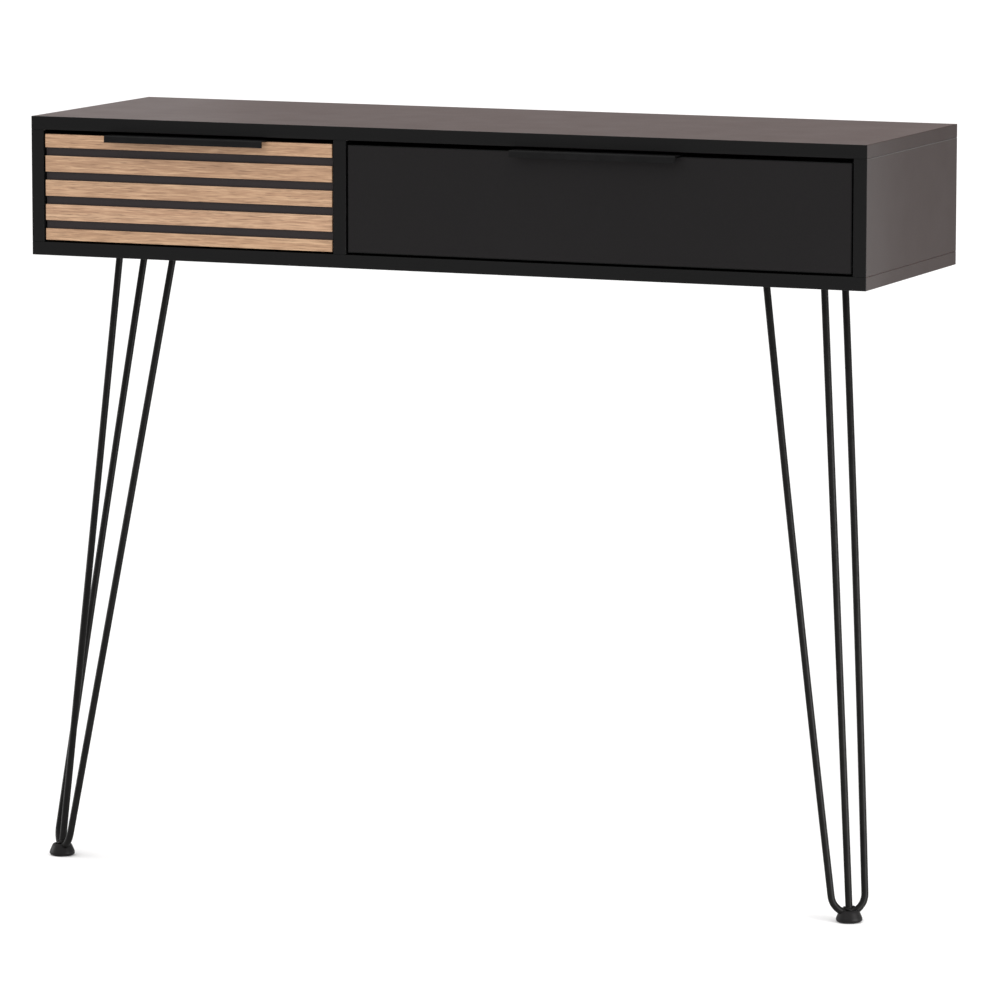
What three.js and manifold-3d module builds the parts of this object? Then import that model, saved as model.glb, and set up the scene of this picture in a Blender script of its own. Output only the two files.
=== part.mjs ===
// Wall-fixed writing desk with two drawers, carried at the front by two three-rod hairpin legs.
// Millimetres, +Z up, floor at z = 0, +Y towards the wall, +X to the right of a person facing the desk.
// The origin is the centre of the overall footprint, on the floor.
import * as THREE from "three";
import { mergeVertices } from "three/addons/utils/BufferGeometryUtils.js";
import Module from "manifold-3d";

const wasm = await Module();
wasm.setup();

// ---------------------------------------------------------------- driving dimensions
const WIDTH = 1000; // across the top panel
const DEPTH = 305; // body only, front edge to wall face
const HEIGHT = 853; // floor to table top
const BOARD = 15; // melamine-faced board of the body
const OPENING_H = 127.5; // clear height of a drawer bay
const LEFT_BAY_W = 359; // clear width of the left bay

const HANDLE_W = 195;
const HANDLE_REACH = 12; // lip in front of the body's front edge
const HANDLE_SHEET = 1.5;
const HANDLE_LIP_H = 8;
const HANDLE_TAIL_H = 18; // screw flange behind the drawer front

const FRONT_H = 120; // drawer fronts
const FRONT_RECESS = 1;
const FRONT_SIDE_GAP = 2;
const FRONT_TOP_GAP = 5;
const SLAT_PROUD = 3; // thickness of an oak slat
const SLAT_GROOVE = 9.5; // dark strip between two slats
const SLAT_HEIGHTS = [15, 18, 18, 18, 13]; // top to bottom

const BOX_BOARD = 12; // drawer box sides and back
const BOX_H = 90;
const BOX_L = 250;
const BOX_BOTTOM_SHEET = 3;
const BOX_GROOVE_UP = 10; // underside of a drawer side to its groove
const BOX_GROOVE_DEPTH = 6;

const RUNNER_GAP = 13; // bay wall to drawer side
const RUNNER_L = 250;
const RUNNER_SHEET = 1.2;
const TRAVEL = 190; // how far a drawer comes out before its rear rollers meet the stops

const ROD_D = 8;
const ROD_SPACING = 67.5; // rods stand on three corners of a square of this side
const LEG_CORNER_IN = 74; // outer rod's top, in from the body's side
const LEG_CORNER_BACK = 75; // outer rod's top, back from the body's front
const LEG_SPLAY = 54; // foot centre, outwards and forwards from that rod's top
const ROD_BOW = 1.5; // spring of each hairpin rod, outwards at the middle of its run
const BEND_R = 20.5; // centreline of the hairpin bend
const BEND_Z = 10; // lowest point of the bend's centreline
const PLATE_T = 2.5;
const PLATE_MARGIN = 14;
const FOOT_H = 13.4;

const FIT = 0.3; // gap between pieces that would otherwise touch inside one another

// ---------------------------------------------------------------- places worked out from them
const FRONT_Y = -(DEPTH + HANDLE_REACH) / 2 + HANDLE_REACH;
const BACK_Y = FRONT_Y + DEPTH;
const SIDE_X = WIDTH / 2;
const TOP_UNDER_Z = HEIGHT - BOARD;
const BAY_FLOOR_Z = TOP_UNDER_Z - OPENING_H;
const UNDER_Z = BAY_FLOOR_Z - BOARD;
const DIVIDER_X0 = -SIDE_X + BOARD + LEFT_BAY_W;
const DIVIDER_X1 = DIVIDER_X0 + BOARD;
const BAYS = {
  left: { x0: -SIDE_X + BOARD, x1: DIVIDER_X0 },
  right: { x0: DIVIDER_X1, x1: SIDE_X - BOARD },
};
const FRONT_TOP_Z = TOP_UNDER_Z - FRONT_TOP_GAP;
const FRONT_FACE_Y = FRONT_Y + FRONT_RECESS;
const BOX_Y0 = FRONT_FACE_Y + BOARD;
const BOX_Z0 = BAY_FLOOR_Z + 15.5;
const RUNNER_Y0 = BOX_Y0 + 2;

// ---------------------------------------------------------------- materials
const material = (color, roughness, metalness = 0) =>
  new THREE.MeshStandardMaterial({ color, roughness, metalness });
const GRAPHITE = material(0x242424, 0.5);
const OAK = material(0xc09a74, 0.6);
const BOX_BOARD_GREY = material(0x3a3a3c, 0.6);
const HARDBOARD = material(0x4a4a4c, 0.7);
const BLACK_STEEL = material(0x1e1e1f, 0.45, 0.3);
const RUNNER_STEEL = material(0x2c2c2e, 0.4, 0.5);
const ZINC = material(0xb8babd, 0.35, 0.9);
const ROLLER_NYLON = material(0xd8d8d4, 0.5);
const FOOT_RUBBER = material(0x1c1c1c, 0.75);

// ---------------------------------------------------------------- geometry helpers
const desk = new THREE.Group();

function add(name, geometry, surface) {
  const mesh = new THREE.Mesh(geometry, surface);
  mesh.name = name;
  desk.add(mesh);
  return mesh;
}

// An upright block between two corners.
function block(x0, x1, y0, y1, z0, z1) {
  const g = new THREE.BoxGeometry(x1 - x0, y1 - y0, z1 - z0);
  return g.translate((x0 + x1) / 2, (y0 + y1) / 2, (z0 + z1) / 2);
}

// The same, with its two x values in either order.
const blockAcross = (xa, xb, ...rest) => block(Math.min(xa, xb), Math.max(xa, xb), ...rest);

// A round bar along X or along Z.
function barX(x0, x1, y, z, radius, sides) {
  const g = new THREE.CylinderGeometry(radius, radius, Math.abs(x1 - x0), sides);
  return g.rotateZ(Math.PI / 2).translate((x0 + x1) / 2, y, z);
}

function barZ(z0, z1, x, y, radius, sides) {
  const g = new THREE.CylinderGeometry(radius, radius, Math.abs(z1 - z0), sides);
  return g.rotateX(Math.PI / 2).translate(x, y, (z0 + z1) / 2);
}

function shapeOf(points) {
  return new THREE.Shape(points.map(([a, b]) => new THREE.Vector2(a, b)));
}

// An (x, z) outline pulled along Y.
function profileY(points, y0, y1) {
  const g = new THREE.ExtrudeGeometry(shapeOf(points), { depth: y1 - y0, bevelEnabled: false });
  return g.rotateX(Math.PI / 2).translate(0, y1, 0);
}

// A (y, z) outline pulled along X.
function profileX(shape, x0, x1, curveSegments = 3) {
  const g = new THREE.ExtrudeGeometry(shape, { depth: x1 - x0, bevelEnabled: false, curveSegments });
  const turn = new THREE.Matrix4().makeBasis(
    new THREE.Vector3(0, 1, 0),
    new THREE.Vector3(0, 0, 1),
    new THREE.Vector3(1, 0, 0),
  );
  return g.applyMatrix4(turn).translate(x0, 0, 0);
}

function toSolid(geometry) {
  const bare = geometry.clone();
  bare.deleteAttribute("normal");
  bare.deleteAttribute("uv");
  const merged = mergeVertices(bare, 1e-4);
  return new wasm.Manifold(
    new wasm.Mesh({
      numProp: 3,
      vertProperties: new Float32Array(merged.attributes.position.array),
      triVerts: new Uint32Array(merged.index.array),
    }),
  );
}

function toGeometry(solid) {
  const mesh = solid.getMesh();
  const g = new THREE.BufferGeometry();
  g.setAttribute("position", new THREE.BufferAttribute(new Float32Array(mesh.vertProperties), 3));
  g.setIndex(new THREE.BufferAttribute(new Uint32Array(mesh.triVerts), 1));
  g.computeVertexNormals();
  return g;
}

const cut = (body, ...tools) =>
  toGeometry(tools.reduce((solid, tool) => solid.subtract(toSolid(tool)), toSolid(body)));
const join = (...pieces) =>
  toGeometry(pieces.map(toSolid).reduce((solid, piece) => solid.add(piece)));

// A path that steps through its own points, so that a straight stretch takes one step.
class SteppedPath extends THREE.Curve {
  constructor(points) {
    super();
    this.points = points;
    this.directions = points.map((_, i) => {
      const before = points[Math.max(i - 1, 0)];
      const after = points[Math.min(i + 1, points.length - 1)];
      return after.clone().sub(before).normalize();
    });
  }
  between(list, t) {
    const place = t * (list.length - 1);
    const i = Math.min(Math.floor(place + 1e-9), list.length - 2);
    return list[i].clone().lerp(list[i + 1], Math.max(0, place - i));
  }
  getPoint(t) {
    return this.between(this.points, t);
  }
  getTangent(t) {
    return this.between(this.directions, t).normalize();
  }
  getPointAt(u) {
    return this.getPoint(u);
  }
  getTangentAt(u) {
    return this.getTangent(u);
  }
  getSpacedPoints(steps) {
    return this.getPoints(steps);
  }
}

function rodAlong(points, radius) {
  const section = new THREE.Shape().absarc(0, 0, radius, 0, 2 * Math.PI);
  return new THREE.ExtrudeGeometry(section, {
    extrudePath: new SteppedPath(points),
    steps: points.length - 1,
    curveSegments: 6,
  });
}

// ---------------------------------------------------------------- body
// A wood screw standing on +Z: round head below z, shank above it.
const SCREW = { headR: 4, headH: 2.4, shankR: 1.75, length: 14 };
const PILOT_R = SCREW.shankR + FIT;

function screwUp(x, y, z) {
  const { headR, headH, shankR, length } = SCREW;
  const profile = [
    [0, -headH],
    [headR * 0.62, -headH * 0.92],
    [headR, -headH * 0.35],
    [headR, 0],
    [shankR, 0],
    [shankR, length - 3],
    [0, length],
  ];
  const g = new THREE.LatheGeometry(profile.map(([r, h]) => new THREE.Vector2(r, h)), 12);
  return g.rotateX(Math.PI / 2).translate(x, y, z);
}

// A leg's plan: the outer rod's top and the direction of the splay. side is +1 on the right.
function legPlan(side) {
  const x = SIDE_X - LEG_CORNER_IN;
  const y = FRONT_Y + LEG_CORNER_BACK;
  return {
    side,
    // across and back run from the outer rod, towards the desk's middle and towards the wall
    at: (across, back, z) => new THREE.Vector3(side * (x - across), y + back, z),
    foot: (z) => new THREE.Vector3(side * (x + LEG_SPLAY), y - LEG_SPLAY, z),
  };
}

const LEG_SCREWS = [
  [ROD_SPACING / 2, 0],
  [0, ROD_SPACING / 2],
  [60, 24],
  [24, 60],
];

function bottomPanel() {
  const board = block(-SIDE_X, SIDE_X, FRONT_Y, BACK_Y, UNDER_Z, BAY_FLOOR_Z);
  const pilots = [-1, 1].flatMap((side) =>
    LEG_SCREWS.map(([across, back]) => {
      const p = legPlan(side).at(across, back, 0);
      const deep = SCREW.length - PLATE_T + FIT;
      return barZ(UNDER_Z - 1, UNDER_Z + deep, p.x, p.y, PILOT_R, 8);
    }),
  );
  return cut(board, ...pilots);
}

const HANGER = { x: 400, w: 24, h: 62, t: 2, z: TOP_UNDER_Z - 48, headR: 5, slotR: 2.6, rise: 14 };
const HANGER_POCKET = 8; // room behind the keyhole for a wall screw's head

function backPanel() {
  const board = block(-SIDE_X + BOARD, SIDE_X - BOARD, BACK_Y - BOARD, BACK_Y, BAY_FLOOR_Z, TOP_UNDER_Z);
  const { x, w, h, t, z, headR, rise } = HANGER;
  const seats = [-1, 1].flatMap((side) => {
    const cx = side * x;
    const half = { w: w / 2 + FIT, h: h / 2 + FIT };
    return [
      block(cx - half.w, cx + half.w, BACK_Y - t - FIT, BACK_Y + 1, z - half.h, z + half.h),
      block(
        cx - headR - 1.5,
        cx + headR + 1.5,
        BACK_Y - t - FIT - HANGER_POCKET,
        BACK_Y,
        z - headR - 1.5,
        z + rise + headR,
      ),
    ];
  });
  return cut(board, ...seats);
}

// A keyhole plate let into the wall face.
function wallHanger(side) {
  const { x, w, h, t, z, headR, slotR, rise } = HANGER;
  const cx = side * x;
  const r = w / 2;
  const outline = new THREE.Shape();
  outline.moveTo(cx - r, z - h / 2 + r);
  outline.absarc(cx, z - h / 2 + r, r, Math.PI, 2 * Math.PI);
  outline.absarc(cx, z + h / 2 - r, r, 0, Math.PI);
  const keyhole = new THREE.Path();
  const edge = Math.asin(slotR / headR);
  keyhole.absarc(cx, z, headR, Math.PI / 2 + edge, Math.PI / 2 - edge + 2 * Math.PI);
  keyhole.absarc(cx, z + rise, slotR, 0, Math.PI);
  outline.holes.push(keyhole);
  const plate = new THREE.ExtrudeGeometry(outline, { depth: t, bevelEnabled: false, curveSegments: 6 });
  plate.rotateX(Math.PI / 2).translate(0, BACK_Y, 0);
  return plate;
}

add("top_panel", block(-SIDE_X, SIDE_X, FRONT_Y, BACK_Y, TOP_UNDER_Z, HEIGHT), GRAPHITE);
add("bottom_panel", bottomPanel(), GRAPHITE);
add("left_side_panel", block(-SIDE_X, -SIDE_X + BOARD, FRONT_Y, BACK_Y, BAY_FLOOR_Z, TOP_UNDER_Z), GRAPHITE);
add("right_side_panel", block(SIDE_X - BOARD, SIDE_X, FRONT_Y, BACK_Y, BAY_FLOOR_Z, TOP_UNDER_Z), GRAPHITE);
add(
  "centre_divider",
  block(DIVIDER_X0, DIVIDER_X1, FRONT_Y, BACK_Y - BOARD, BAY_FLOOR_Z, TOP_UNDER_Z),
  GRAPHITE,
);
add("back_panel", backPanel(), GRAPHITE);
add("wall_hanger_left", wallHanger(-1), ZINC);
add("wall_hanger_right", wallHanger(1), ZINC);

// ---------------------------------------------------------------- hairpin legs
// The plate under the body: a square over the three rod tops with its inner corner cut off.
function legPlate(plan) {
  const far = ROD_SPACING + PLATE_MARGIN;
  const near = -PLATE_MARGIN;
  const snip = 42; // where the cut corner starts, along each side
  const corner = 6;
  const outline = [
    [near + corner, near],
    [far - corner, near],
    [far, near + corner],
    [far, snip - near - 4],
    [snip - near - 4, far],
    [near + corner, far],
    [near, far - corner],
    [near, near + corner],
  ];
  const shape = shapeOf(outline.map(([a, b]) => [plan.at(a, b, 0).x, plan.at(a, b, 0).y]));
  const plate = new THREE.ExtrudeGeometry(shape, { depth: PLATE_T, bevelEnabled: false });
  plate.translate(0, 0, UNDER_Z - PLATE_T);
  const holes = LEG_SCREWS.map(([across, back]) => {
    const p = plan.at(across, back, 0);
    return barZ(UNDER_Z - PLATE_T - 1, UNDER_Z + 1, p.x, p.y, PILOT_R, 12);
  });
  return cut(plate, ...holes);
}

// The hairpin: two long runs that touch a bend of BEND_R, all in one leaning plane.
function hairpinPath(plan) {
  const inner = plan.at(ROD_SPACING, 0, UNDER_Z);
  const outer = plan.at(0, ROD_SPACING, UNDER_Z);
  const low = plan.foot(BEND_Z);
  const across = outer.clone().sub(inner).normalize();
  const up = inner.clone().lerp(outer, 0.5).sub(low);
  const rise = up.length() - BEND_R;
  const halfTop = inner.distanceTo(outer) / 2;
  const start = Math.atan2(rise, halfTop) - Math.acos(BEND_R / Math.hypot(halfTop, rise));
  up.normalize();
  const centre = low.clone().addScaledVector(up, BEND_R);
  const bendSteps = 10;
  const bend = Array.from({ length: bendSteps + 1 }, (_, i) => {
    const angle = start - ((Math.PI + 2 * start) * i) / bendSteps;
    return centre
      .clone()
      .addScaledVector(across, BEND_R * Math.cos(angle))
      .addScaledVector(up, BEND_R * Math.sin(angle));
  });
  const run = (from, to, outwards) =>
    [0.25, 0.5, 0.75].map((t) =>
      from
        .clone()
        .lerp(to, t)
        .addScaledVector(across, outwards * ROD_BOW * 4 * t * (1 - t)),
    );
  return [outer, ...run(outer, bend[0], 1), ...bend, ...run(bend.at(-1), inner, -1), inner];
}

const centreRodPath = (plan) => [plan.at(0, 0, UNDER_Z), plan.foot(BEND_Z)];

// Takes off what reaches above the underside of the leg's plate.
function trimmedUnderPlate(plan, rod, ...tools) {
  const p = plan.at(0, 0, 0);
  const z = UNDER_Z - PLATE_T - FIT;
  return cut(rod, block(p.x - 120, p.x + 120, p.y - 120, p.y + 120, z, UNDER_Z + 20), ...tools);
}

// The push-on foot: a cone with a rounded rim and a saddle for the bend.
function foot(plan) {
  const profile = [
    [0, 0],
    [13.3, 0],
    [14.3, 1],
    [14.6, 2.9],
    [14.1, 5],
    [11.7, FOOT_H - 2.8],
    [10.5, FOOT_H - 0.9],
    [9.2, FOOT_H],
    [0, FOOT_H],
  ];
  const cone = new THREE.LatheGeometry(profile.map(([r, h]) => new THREE.Vector2(r, h)), 24);
  const place = plan.foot(0);
  cone.rotateX(Math.PI / 2).translate(place.x, place.y, 0);
  const hairpin = hairpinPath(plan);
  const mouth = hairpin.map((p) => p.clone().setZ(p.z + 4));
  return cut(
    cone,
    rodAlong(hairpin, ROD_D / 2 + FIT),
    rodAlong(mouth, ROD_D / 2 - 2 * FIT),
    rodAlong(centreRodPath(plan), ROD_D / 2 + FIT),
  );
}

for (const [label, side] of [
  ["left", -1],
  ["right", 1],
]) {
  const plan = legPlan(side);
  const hairpin = hairpinPath(plan);
  const centre = rodAlong(centreRodPath(plan), ROD_D / 2);
  const cope = rodAlong(hairpin, ROD_D / 2 + FIT);
  add(`leg_${label}_plate`, legPlate(plan), BLACK_STEEL);
  add(`leg_${label}_bent_rod`, trimmedUnderPlate(plan, rodAlong(hairpin, ROD_D / 2)), BLACK_STEEL);
  add(`leg_${label}_straight_rod`, trimmedUnderPlate(plan, centre, cope), BLACK_STEEL);
  add(`leg_${label}_foot`, foot(plan), FOOT_RUBBER);
  LEG_SCREWS.forEach(([across, back], i) => {
    const p = plan.at(across, back, 0);
    add(`leg_${label}_screw_${i + 1}`, screwUp(p.x, p.y, UNDER_Z - PLATE_T), ZINC);
  });
}

// ---------------------------------------------------------------- runners
// s runs from the bay wall towards the drawer, inward is +1 where the wall is on the drawer's left.
const RAIL_Z0 = BAY_FLOOR_Z + 6;
const RAIL_H = 28;
const RAIL_FLANGE = 9;
const WEB_S = RUNNER_GAP - RUNNER_SHEET - 0.2; // the drawer rail's web, 0.2 clear of the drawer side
const FLANGE_Z = RAIL_Z0 + 22.3; // underside of the drawer rail's running flange
const AXLE_R = 2;
const BORE_R = 2.3;
const FRONT_ROLLER = { r: 10, s0: 2.4, s1: 9.2, y: RUNNER_Y0 + 13, z: FLANGE_Z - 0.2 - 10 };
const REAR_ROLLER = {
  r: RAIL_H / 2 - RUNNER_SHEET - 0.2,
  s0: 2.6,
  s1: 8.6,
  y: RUNNER_Y0 + RUNNER_L - 14,
  z: RAIL_Z0 + RAIL_H / 2,
};

const along = (wall, inward) => (s) => wall + inward * s;

function bayRail(wall, inward) {
  const x = along(wall, inward);
  const t = RUNNER_SHEET;
  const channel = [
    [0, 0],
    [RAIL_FLANGE, 0],
    [RAIL_FLANGE, t],
    [t, t],
    [t, RAIL_H - t],
    [RAIL_FLANGE, RAIL_H - t],
    [RAIL_FLANGE, RAIL_H],
    [0, RAIL_H],
  ].map(([s, h]) => [x(s), RAIL_Z0 + h]);
  const stop = (y, z0, z1) => blockAcross(x(t / 2), x(RAIL_FLANGE), y, y + t, z0, z1);
  const frontStopY = REAR_ROLLER.y - TRAVEL - REAR_ROLLER.r - 0.2 - t;
  return join(
    profileY(channel, RUNNER_Y0, RUNNER_Y0 + RUNNER_L),
    barX(x(t / 2), x(FRONT_ROLLER.s1 + 0.8), FRONT_ROLLER.y, FRONT_ROLLER.z, AXLE_R, 12),
    stop(frontStopY, RAIL_Z0 + t / 2, REAR_ROLLER.z),
    stop(REAR_ROLLER.y + REAR_ROLLER.r + 0.2, RAIL_Z0 + t / 2, RAIL_Z0 + RAIL_H - t / 2),
  );
}

function drawerRail(wall, inward) {
  const x = along(wall, inward);
  const t = RUNNER_SHEET;
  const under = BOX_Z0 - FIT - t;
  const angle = [
    [WEB_S, under],
    [RUNNER_GAP + BOX_BOARD, under],
    [RUNNER_GAP + BOX_BOARD, under + t],
    [WEB_S + t, under + t],
    [WEB_S + t, FLANGE_Z + t],
    [WEB_S, FLANGE_Z + t],
  ].map(([s, z]) => [x(s), z]);
  const flange = [
    [3.5, FLANGE_Z],
    [WEB_S + t / 2, FLANGE_Z],
    [WEB_S + t / 2, FLANGE_Z + t],
    [3.5, FLANGE_Z + t],
  ].map(([s, z]) => [x(s), z]);
  return join(
    profileY(angle, RUNNER_Y0, RUNNER_Y0 + RUNNER_L),
    profileY(flange, RUNNER_Y0, REAR_ROLLER.y - REAR_ROLLER.r - 3),
    barX(x(REAR_ROLLER.s0 - 0.8), x(WEB_S + t / 2), REAR_ROLLER.y, REAR_ROLLER.z, AXLE_R, 12),
  );
}

// A nylon wheel: a ring of trapezoid section around its bore.
function roller(wall, inward, { r, s0, s1, y, z }) {
  const half = (s1 - s0) / 2;
  const profile = [
    [BORE_R, -half],
    [r - 0.6, -half],
    [r, 0.6 - half],
    [r, half - 0.6],
    [r - 0.6, half],
    [BORE_R, half],
    [BORE_R, -half],
  ];
  const g = new THREE.LatheGeometry(profile.map(([a, b]) => new THREE.Vector2(a, b)), 24);
  return g.rotateZ(-Math.PI / 2).translate(along(wall, inward)((s0 + s1) / 2), y, z);
}

// ---------------------------------------------------------------- drawers
// The edge pull: a folded sheet with a lip in front, a web on the front's top edge and a tail behind.
function handle(centreX) {
  const t = HANDLE_SHEET;
  const out = 2.2; // outside radius of a fold
  const y0 = FRONT_Y - HANDLE_REACH;
  const y1 = BOX_Y0 + FIT + t;
  const z1 = FRONT_TOP_Z + FIT + t;
  const shape = new THREE.Shape();
  shape.moveTo(y0, z1 - HANDLE_LIP_H);
  shape.lineTo(y0 + t, z1 - HANDLE_LIP_H);
  shape.absarc(y0 + out, z1 - out, out - t, Math.PI, Math.PI / 2, true);
  shape.absarc(y1 - out, z1 - out, out - t, Math.PI / 2, 0, true);
  shape.lineTo(y1 - t, z1 - HANDLE_TAIL_H);
  shape.lineTo(y1, z1 - HANDLE_TAIL_H);
  shape.absarc(y1 - out, z1 - out, out, 0, Math.PI / 2, false);
  shape.absarc(y0 + out, z1 - out, out, Math.PI / 2, Math.PI, false);
  shape.closePath();
  return profileX(shape, centreX - HANDLE_W / 2, centreX + HANDLE_W / 2);
}

const BOTTOM_Z = BOX_Z0 + BOX_GROOVE_UP;
const groove = { z0: BOTTOM_Z - 0.2, z1: BOTTOM_Z + BOX_BOTTOM_SHEET + 0.2 };

function drawerSide(outerX, inward) {
  const x = along(outerX, inward);
  const [y0, y1] = [BOX_Y0, BOX_Y0 + BOX_L];
  const slotX = x(BOX_BOARD - BOX_GROOVE_DEPTH);
  return cut(
    blockAcross(x(0), x(BOX_BOARD), y0, y1, BOX_Z0, BOX_Z0 + BOX_H),
    blockAcross(slotX, x(BOX_BOARD + 1), y0 - 1, y1 + 1, groove.z0, groove.z1),
  );
}

function drawerFront(x0, x1, y0, boxX0, boxX1) {
  const board = block(x0, x1, y0, BOX_Y0, FRONT_TOP_Z - FRONT_H, FRONT_TOP_Z);
  const inset = BOX_BOARD - BOX_GROOVE_DEPTH;
  const slot = block(boxX0 + inset, boxX1 - inset, BOX_Y0 - 5, BOX_Y0 + 1, groove.z0, groove.z1);
  return cut(board, slot);
}

function addSlats(drawer, x0, x1) {
  let top = FRONT_TOP_Z;
  SLAT_HEIGHTS.forEach((height, i) => {
    const strip = block(x0, x1, FRONT_FACE_Y, FRONT_FACE_Y + SLAT_PROUD, top - height, top);
    add(`${drawer}_drawer_slat_${i + 1}`, strip, OAK);
    top -= height + SLAT_GROOVE;
  });
}

function addDrawer(drawer, slatted) {
  const bay = BAYS[drawer];
  const [x0, x1] = [bay.x0 + FRONT_SIDE_GAP, bay.x1 - FRONT_SIDE_GAP];
  const [b0, b1] = [bay.x0 + RUNNER_GAP, bay.x1 - RUNNER_GAP];
  const boardY = FRONT_FACE_Y + (slatted ? SLAT_PROUD : 0);
  const reach = BOX_BOARD - BOX_GROOVE_DEPTH + FIT;
  const boxEnd = BOX_Y0 + BOX_L;
  add(`${drawer}_drawer_front`, drawerFront(x0, x1, boardY, b0, b1), GRAPHITE);
  if (slatted) addSlats(drawer, x0, x1);
  add(`${drawer}_drawer_side_left`, drawerSide(b0, 1), BOX_BOARD_GREY);
  add(`${drawer}_drawer_side_right`, drawerSide(b1, -1), BOX_BOARD_GREY);
  add(
    `${drawer}_drawer_back`,
    block(b0 + BOX_BOARD, b1 - BOX_BOARD, boxEnd - BOX_BOARD, boxEnd, groove.z1, BOX_Z0 + BOX_H),
    BOX_BOARD_GREY,
  );
  add(
    `${drawer}_drawer_bottom`,
    block(b0 + reach, b1 - reach, BOX_Y0 - 5 + FIT, boxEnd, BOTTOM_Z, BOTTOM_Z + BOX_BOTTOM_SHEET),
    HARDBOARD,
  );
  add(`${drawer}_drawer_handle`, handle((x0 + x1) / 2), BLACK_STEEL);
  for (const [label, wall, inward] of [
    ["left", bay.x0, 1],
    ["right", bay.x1, -1],
  ]) {
    add(`${drawer}_bay_rail_${label}`, bayRail(wall, inward), RUNNER_STEEL);
    add(`${drawer}_bay_roller_${label}`, roller(wall, inward, FRONT_ROLLER), ROLLER_NYLON);
    add(`${drawer}_drawer_rail_${label}`, drawerRail(wall, inward), RUNNER_STEEL);
    add(`${drawer}_drawer_roller_${label}`, roller(wall, inward, REAR_ROLLER), ROLLER_NYLON);
  }
}

addDrawer("left", true);
addDrawer("right", false);

export default desk;
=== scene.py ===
"""Looks of a wall-fixed writing desk with two drawers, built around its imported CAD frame.

The frame is +Z up with the floor at z = 0, +Y towards the wall, and +X to the right of a person who faces the
desk. Shapes are worked out in millimetres and scaled to metres when a piece is made.
"""

import math
import random

import bmesh
import bpy
from mathutils import Matrix, Vector


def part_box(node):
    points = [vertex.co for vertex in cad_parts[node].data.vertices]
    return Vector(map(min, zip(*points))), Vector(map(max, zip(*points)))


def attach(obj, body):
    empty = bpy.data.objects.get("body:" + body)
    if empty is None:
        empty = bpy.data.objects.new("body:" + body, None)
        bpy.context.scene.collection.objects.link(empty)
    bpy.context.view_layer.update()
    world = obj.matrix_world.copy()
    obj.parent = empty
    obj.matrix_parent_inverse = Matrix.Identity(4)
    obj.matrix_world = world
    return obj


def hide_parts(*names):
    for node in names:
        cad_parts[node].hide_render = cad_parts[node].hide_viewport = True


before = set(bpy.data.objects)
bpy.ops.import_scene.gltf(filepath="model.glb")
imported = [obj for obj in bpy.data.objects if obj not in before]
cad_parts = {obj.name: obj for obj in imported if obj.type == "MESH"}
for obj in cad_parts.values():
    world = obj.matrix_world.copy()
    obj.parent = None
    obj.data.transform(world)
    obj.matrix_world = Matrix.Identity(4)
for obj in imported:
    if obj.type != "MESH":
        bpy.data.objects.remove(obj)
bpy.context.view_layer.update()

MM = 0.001
X, Y, Z = 0, 1, 2
SIDES = (("left", 1), ("right", -1))  # each wall of a bay or side of a drawer, and its inward direction
FIT = 0.3  # gap between pieces that would otherwise touch inside one another
scene = bpy.context.scene
dice = random.Random(7)

# ---------------------------------------------------------------- camera
CAMERA_AT = Vector((2.6913, -6.4363, 1.4183))
CAMERA_YAW, CAMERA_PITCH, CAMERA_ROLL = map(math.radians, (22.587, -8.124, 0.038))
camera_data = bpy.data.cameras.new("camera")
camera_data.lens = 224.1
camera_data.sensor_width = 36.0
camera_data.clip_end = 200.0
camera = bpy.data.objects.new("camera", camera_data)
scene.collection.objects.link(camera)
camera.matrix_world = (
    Matrix.Translation(CAMERA_AT)
    @ Matrix.Rotation(CAMERA_YAW, 4, "Z")
    @ Matrix.Rotation(math.pi / 2 + CAMERA_PITCH, 4, "X")
    @ Matrix.Rotation(CAMERA_ROLL, 4, "Z")
)
scene.camera = camera


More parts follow.
